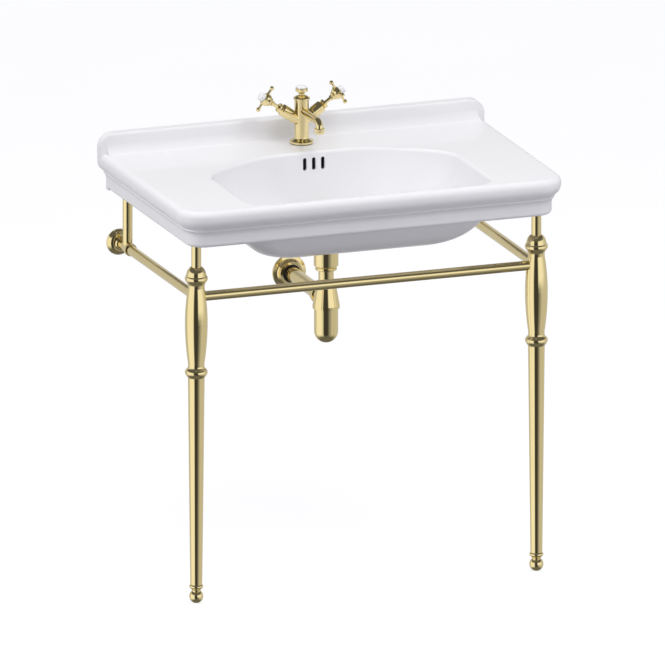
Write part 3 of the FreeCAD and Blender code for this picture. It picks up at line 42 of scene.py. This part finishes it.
# Colours as linear values
CERAMIC_LIGHT = (0.872, 0.868, 0.880, 1.0)
CERAMIC_SHADE = (0.845, 0.840, 0.855, 1.0)
GLAZE_IOR = 1.38
# Painted shade: dark grey for inside the overflow passage, where it would lie in shadow
PASSAGE_PAINTED_SHADE = (0.11, 0.11, 0.12, 1.0)
PORCELAIN_LIGHT = (0.88, 0.885, 0.89, 1.0)
PORCELAIN_SHADE = (0.84, 0.84, 0.85, 1.0)
GOLD_LIGHT = (0.92, 0.78, 0.42, 1.0)
GOLD_DEEP = (0.88, 0.73, 0.38, 1.0)
BRASS_LIGHT = (0.72, 0.57, 0.30, 1.0)
BRASS_DEEP = (0.58, 0.43, 0.20, 1.0)
STEEL_LIGHT = (0.62, 0.63, 0.65, 1.0)
STEEL_DEEP = (0.47, 0.48, 0.50, 1.0)
RUBBER_LIGHT = (0.030, 0.030, 0.032, 1.0)
RUBBER_DEEP = (0.018, 0.018, 0.019, 1.0)
NYLON_LIGHT = (0.84, 0.84, 0.81, 1.0)
NYLON_DEEP = (0.76, 0.76, 0.72, 1.0)
FLOOR_LIGHT = (0.41, 0.41, 0.44, 1.0)
FLOOR_DEEP = (0.38, 0.38, 0.41, 1.0)
FLOOR_GLOW = 0.70
WHITE_TONE = (1.0, 1.0, 1.0, 1.0)

# Surface detail: noise scales per metre, roughness ranges, bump strength and height in metres
GLAZE_DRIFT, GLAZE_RIPPLE, GLAZE_GRAIN = 5.0, 38.0, 420.0
GLAZE_ROUGHNESS = (0.07, 0.13)
GLAZE_BUMP = (0.10, 0.0006)
METAL_DRIFT, METAL_HAZE = 14.0, 90.0
METAL_MARKS = (900.0, 900.0, 60.0)
METAL_ROUGH_SPAN = (0.7, 1.4)
METAL_MARK_HEIGHT = 0.0001
SOFT_DRIFT, SOFT_GRAIN = 30.0, 700.0
SOFT_ROUGH_SPAN = (0.85, 1.15)
SOFT_BUMP = (0.25, 0.0002)
FLOOR_DRIFT = 3.0
FLOOR_ROUGHNESS = 0.9

# Floor and lamps: place, side and power (metres and watts), all aimed at one spot
FLOOR_HALF = 8.0
LAMP_AIM = Vector((0.0, 0.0, 0.7))
LAMPS = (
    ("softbox_left", (-2.4, -0.2, 1.5), 1.5, 22.0),
    ("fill_right", (1.5, -1.3, 0.45), 0.8, 4.5),
    ("key_front", (0.45, -1.35, 2.95), 1.5, 30.0),
)

# The studio round the object, as metal and glaze show it: the white background, with plain
# cards in front of it. Directions are degrees from straight in front, plus to the right;
# heights are the sine of the angle above the horizon.
WHITE = 1.0
GREY_CARD = 0.6
DARK_CARD = 0.05
OVERHEAD_CARD = (0.12, 0.12, 0.12, 1.0)
LOW_CARD = (0.15, 0.15, 0.15, 1.0)
CARDS_BELOW = (
    (-180, GREY_CARD), (-130, GREY_CARD), (-118, WHITE), (-52, WHITE), (-42, DARK_CARD),
    (-5, DARK_CARD), (40, GREY_CARD), (180, GREY_CARD),
)
CARDS_LEVEL = (
    (-180, GREY_CARD), (-130, GREY_CARD), (-118, WHITE), (-52, WHITE), (-42, DARK_CARD),
    (-5, DARK_CARD), (5, WHITE), (45, WHITE), (90, GREY_CARD), (180, GREY_CARD),
)
LEVEL_SHARE = ((-1.0, 0.0), (-0.25, 0.0), (-0.14, 1.0), (1.0, 1.0))
LOW_SHARE = ((-1.0, 1.0), (-0.80, 1.0), (-0.50, 0.0), (1.0, 0.0))
OVERHEAD_SHARE = ((-1.0, 0.0), (0.34, 0.0), (0.52, 1.0), (1.0, 1.0))

# What lights the object, by height
SKY = (
    (-1.0, (0.28, 0.28, 0.32)), (-0.05, (0.25, 0.25, 0.29)), (0.0, (0.26, 0.26, 0.30)),
    (1.0, (0.84, 0.84, 0.85)),
)
TURN_SPAN = 360.0
HEIGHT_SPAN = 2.0


# ---------------------------------------------------------------- materials


class Nodes:
    """A short way to add and join shader nodes in one tree."""

    def __init__(self, tree):
        self.tree = tree
        tree.nodes.clear()

    def add(self, kind, **settings):
        node = self.tree.nodes.new("ShaderNode" + kind)
        for name, setting in settings.items():
            setattr(node, name, setting)
        return node

    def join(self, source, target):
        self.tree.links.new(source, target)

    def noise(self, place, scale, detail=3.0):
        node = self.add("TexNoise")
        node.inputs["Scale"].default_value = scale
        node.inputs["Detail"].default_value = detail
        self.join(place, node.inputs["Vector"])
        return node.outputs["Fac"]

    def spread(self, source, low, high, from_low=0.0, from_high=1.0):
        """Maps a value from one range on to another."""
        node = self.add("MapRange")
        node.inputs["From Min"].default_value = from_low
        node.inputs["From Max"].default_value = from_high
        node.inputs["To Min"].default_value = low
        node.inputs["To Max"].default_value = high
        self.join(source, node.inputs["Value"])
        return node.outputs["Result"]

    def feed(self, socket, source):
        """Joins an output to a socket, or sets the socket to a plain value."""
        if isinstance(source, bpy.types.NodeSocket):
            self.join(source, socket)
        else:
            socket.default_value = source

    def sum(self, operation, first, second):
        """One step of arithmetic on two outputs or plain values."""
        node = self.add("Math", operation=operation)
        self.feed(node.inputs[0], first)
        self.feed(node.inputs[1], second)
        return node.outputs[0]

    def blend(self, share, first, second):
        """Mixes two colours by a value."""
        node = self.add("Mix", data_type="RGBA")
        sockets = {socket.identifier: socket for socket in node.inputs}
        self.feed(sockets["Factor_Float"], share)
        self.feed(sockets["A_Color"], first)
        self.feed(sockets["B_Color"], second)
        return next(one for one in node.outputs if one.identifier == "Result_Color")

    def ramp(self, source, stops, span):
        """A ramp of greys or colours. Its stops run over the span, with nought in the middle."""
        node = self.add("ValToRGB")
        bands = node.color_ramp.elements
        while len(bands) < len(stops):
            bands.new(1.0)
        for band, (spot, level) in zip(bands, stops):
            band.position = spot / span + 0.5
            tone = level if isinstance(level, tuple) else (level, level, level)
            band.color = (*tone, 1.0)
        self.join(source, node.inputs["Fac"])
        return node.outputs["Color"]

    def background(self, colour):
        node = self.add("Background")
        self.feed(node.inputs["Color"], colour)
        return node.outputs[0]

    def choose(self, share, first, second):
        node = self.add("MixShader")
        self.join(share, node.inputs[0])
        self.join(first, node.inputs[1])
        self.join(second, node.inputs[2])
        return node.outputs[0]

    def stretched(self, place, scale):
        node = self.add("Mapping")
        node.inputs["Scale"].default_value = scale
        self.join(place, node.inputs["Vector"])
        return node.outputs["Vector"]

    def bump(self, height, strength, distance):
        node = self.add("Bump")
        node.inputs["Strength"].default_value = strength
        node.inputs["Distance"].default_value = distance
        self.join(height, node.inputs["Height"])
        return node.outputs["Normal"]


def new_material(name):
    material = bpy.data.materials.new(name)
    material.use_nodes = True
    nodes = Nodes(material.node_tree)
    shader = nodes.add("BsdfPrincipled")
    out = nodes.add("OutputMaterial")
    nodes.join(shader.outputs["BSDF"], out.inputs["Surface"])
    place = nodes.add("TexCoord").outputs["Object"]
    return material, nodes, shader, place


def passage_shade_share(nodes, place):
    """One inside the basin's overflow passage, where its shade is painted, nought elsewhere."""
    spot = nodes.add("SeparateXYZ")
    nodes.join(place, spot.inputs[0])
    aside = nodes.sum("ABSOLUTE", spot.outputs["X"], 0.0)
    inside = nodes.sum("LESS_THAN", aside, PASSAGE_HALF_WIDTH)
    limits = (
        ("GREATER_THAN", "Y", PASSAGE_FRONT),
        ("LESS_THAN", "Y", PASSAGE_BACK),
        ("LESS_THAN", "Z", PASSAGE_TOP),
    )
    for operation, axis, level in limits:
        inside = nodes.sum("MULTIPLY", inside, nodes.sum(operation, spot.outputs[axis], level))
    return inside


def glaze(name, light, shade):
    """Glossy fired glaze: faint tone drift, a soft ripple, and painted shade inside the overflow
    passage.
    """
    material, nodes, shader, place = new_material(name)
    drift = nodes.noise(place, GLAZE_DRIFT)
    ripple = nodes.noise(place, GLAZE_RIPPLE, 2.0)
    grain = nodes.noise(place, GLAZE_GRAIN, 2.0)
    glazed = nodes.blend(drift, light, shade)
    # Painted shade: the overflow passage is coloured dark grey, standing in for the shade inside it
    tone = nodes.blend(passage_shade_share(nodes, place), glazed, PASSAGE_PAINTED_SHADE)
    nodes.join(tone, shader.inputs["Base Color"])
    nodes.join(nodes.spread(grain, *GLAZE_ROUGHNESS), shader.inputs["Roughness"])
    nodes.join(nodes.bump(ripple, *GLAZE_BUMP), shader.inputs["Normal"])
    shader.inputs["IOR"].default_value = GLAZE_IOR
    return material


def metal(name, light, deep, rough, mark_strength=0.05):
    """Plated or polished metal: faint tone drift, polishing marks and fine scratches."""
    material, nodes, shader, place = new_material(name)
    low, high = METAL_ROUGH_SPAN
    drift = nodes.noise(place, METAL_DRIFT, 4.0)
    haze = nodes.noise(place, METAL_HAZE, 5.0)
    marks = nodes.noise(nodes.stretched(place, METAL_MARKS), 1.0, 2.0)
    nodes.join(nodes.blend(drift, light, deep), shader.inputs["Base Color"])
    nodes.join(nodes.spread(haze, rough * low, rough * high), shader.inputs["Roughness"])
    nodes.join(nodes.bump(marks, mark_strength, METAL_MARK_HEIGHT), shader.inputs["Normal"])
    shader.inputs["Metallic"].default_value = 1.0
    return material


def soft(name, light, deep, rough):
    """Rubber or nylon: matt, with a moulded grain."""
    material, nodes, shader, place = new_material(name)
    low, high = SOFT_ROUGH_SPAN
    drift = nodes.noise(place, SOFT_DRIFT)
    grain = nodes.noise(place, SOFT_GRAIN, 4.0)
    nodes.join(nodes.blend(drift, light, deep), shader.inputs["Base Color"])
    nodes.join(nodes.spread(grain, rough * low, rough * high), shader.inputs["Roughness"])
    nodes.join(nodes.bump(grain, *SOFT_BUMP), shader.inputs["Normal"])
    return material


MATERIALS = {
    "glazed_ceramic": glaze("glazed_ceramic", CERAMIC_LIGHT, CERAMIC_SHADE),
    "porcelain": glaze("porcelain", PORCELAIN_LIGHT, PORCELAIN_SHADE),
    "polished_brass": metal("polished_brass", GOLD_LIGHT, GOLD_DEEP, 0.07),
    "plain_brass": metal("plain_brass", BRASS_LIGHT, BRASS_DEEP, 0.24, 0.2),
    "plated_steel": metal("plated_steel", STEEL_LIGHT, STEEL_DEEP, 0.28, 0.2),
    "black_rubber": soft("black_rubber", RUBBER_LIGHT, RUBBER_DEEP, 0.62),
    "white_nylon": soft("white_nylon", NYLON_LIGHT, NYLON_DEEP, 0.5),
}


def dress_frame():
    """Gives each CAD node the finish that the record names for it."""
    slots = {part["node"]: part["material_slot"] for part in frame["record"]["subparts"]}
    for name, item in frame["nodes"].items():
        item.data.materials.clear()
        item.data.materials.append(MATERIALS[slots[name]])


# ---------------------------------------------------------------- stage


def make_floor():
    """A large pale floor that takes the shadow, and reads as white to the camera."""
    material, nodes, shader, place = new_material("floor")
    tone = nodes.blend(nodes.noise(place, FLOOR_DRIFT), FLOOR_LIGHT, FLOOR_DEEP)
    nodes.join(tone, shader.inputs["Base Color"])
    shader.inputs["Roughness"].default_value = FLOOR_ROUGHNESS
    path = nodes.add("LightPath")
    seen = nodes.sum("MAXIMUM", path.outputs["Is Camera Ray"], path.outputs["Is Transmission Ray"])
    nodes.join(nodes.sum("MULTIPLY", seen, FLOOR_GLOW), shader.inputs["Emission Strength"])
    shader.inputs["Emission Color"].default_value = WHITE_TONE

    mesh = bpy.data.meshes.new("floor")
    corners = [(x * FLOOR_HALF, y * FLOOR_HALF, 0) for x, y in ((-1, -1), (1, -1), (1, 1), (-1, 1))]
    mesh.from_pydata(corners, [], [(0, 1, 2, 3)])
    mesh.materials.append(material)
    floor = bpy.data.objects.new("floor", mesh)
    bpy.context.collection.objects.link(floor)
    floor.visible_glossy = False


def make_world():
    """White to the camera, and in metal, where plain cards stand before it. As light, a sky."""
    world = bpy.data.worlds.new("studio")
    bpy.context.scene.world = world
    world.use_nodes = True
    nodes = Nodes(world.node_tree)
    way = nodes.add("SeparateXYZ")
    nodes.join(nodes.add("TexCoord").outputs["Generated"], way.inputs[0])
    height = nodes.spread(way.outputs["Z"], 0.0, 1.0, -1.0, 1.0)
    forward = nodes.sum("MULTIPLY", way.outputs["Y"], -1.0)
    turn = nodes.sum("ARCTAN2", way.outputs["X"], forward)
    around = nodes.spread(turn, 0.0, 1.0, -math.pi, math.pi)
    below = nodes.ramp(around, CARDS_BELOW, TURN_SPAN)
    level = nodes.ramp(around, CARDS_LEVEL, TURN_SPAN)
    cards = nodes.blend(nodes.ramp(height, LEVEL_SHARE, HEIGHT_SPAN), below, level)
    for share, tone in ((LOW_SHARE, LOW_CARD), (OVERHEAD_SHARE, OVERHEAD_CARD)):
        cards = nodes.blend(nodes.ramp(height, share, HEIGHT_SPAN), cards, tone)
    light = nodes.background(nodes.ramp(height, SKY, HEIGHT_SPAN))
    gloss = nodes.background(cards)
    white = nodes.background(WHITE_TONE)
    path = nodes.add("LightPath")
    lit = nodes.choose(path.outputs["Is Glossy Ray"], light, gloss)
    clear = nodes.sum("MAXIMUM", path.outputs["Is Camera Ray"], path.outputs["Is Transmission Ray"])
    shown = nodes.choose(clear, lit, white)
    nodes.join(shown, nodes.add("OutputWorld").inputs["Surface"])


def add_lamp(name, at, size, power):
    """A soft square lamp that points at the basin and leaves no mirror image."""
    data = bpy.data.lights.new(name, "AREA")
    data.size = size
    data.energy = power
    lamp = bpy.data.objects.new(name, data)
    lamp.location = at
    lamp.rotation_euler = (LAMP_AIM - lamp.location).to_track_quat("-Z", "Y").to_euler()
    bpy.context.collection.objects.link(lamp)
    lamp.visible_camera = False
    lamp.visible_glossy = False


def make_camera():
    """The photograph's view."""
    turn, lift = math.radians(VIEW_TURN), math.radians(VIEW_LIFT)
    level = math.cos(lift)
    back = Vector((-math.sin(turn) * level, -math.cos(turn) * level, math.sin(lift)))
    data = bpy.data.cameras.new("camera")
    data.type = "ORTHO"
    data.ortho_scale = VIEW_WIDTH
    camera = bpy.data.objects.new("camera", data)
    camera.location = VIEW_TARGET + back * VIEW_DISTANCE
    camera.rotation_euler = (-back).to_track_quat("-Z", "Y").to_euler()
    bpy.context.collection.objects.link(camera)
    bpy.context.scene.camera = camera


dress_frame()
make_floor()
make_world()
for lamp in LAMPS:
    add_lamp(*lamp)
make_camera()
bpy.context.scene.view_settings.view_transform = "Standard"
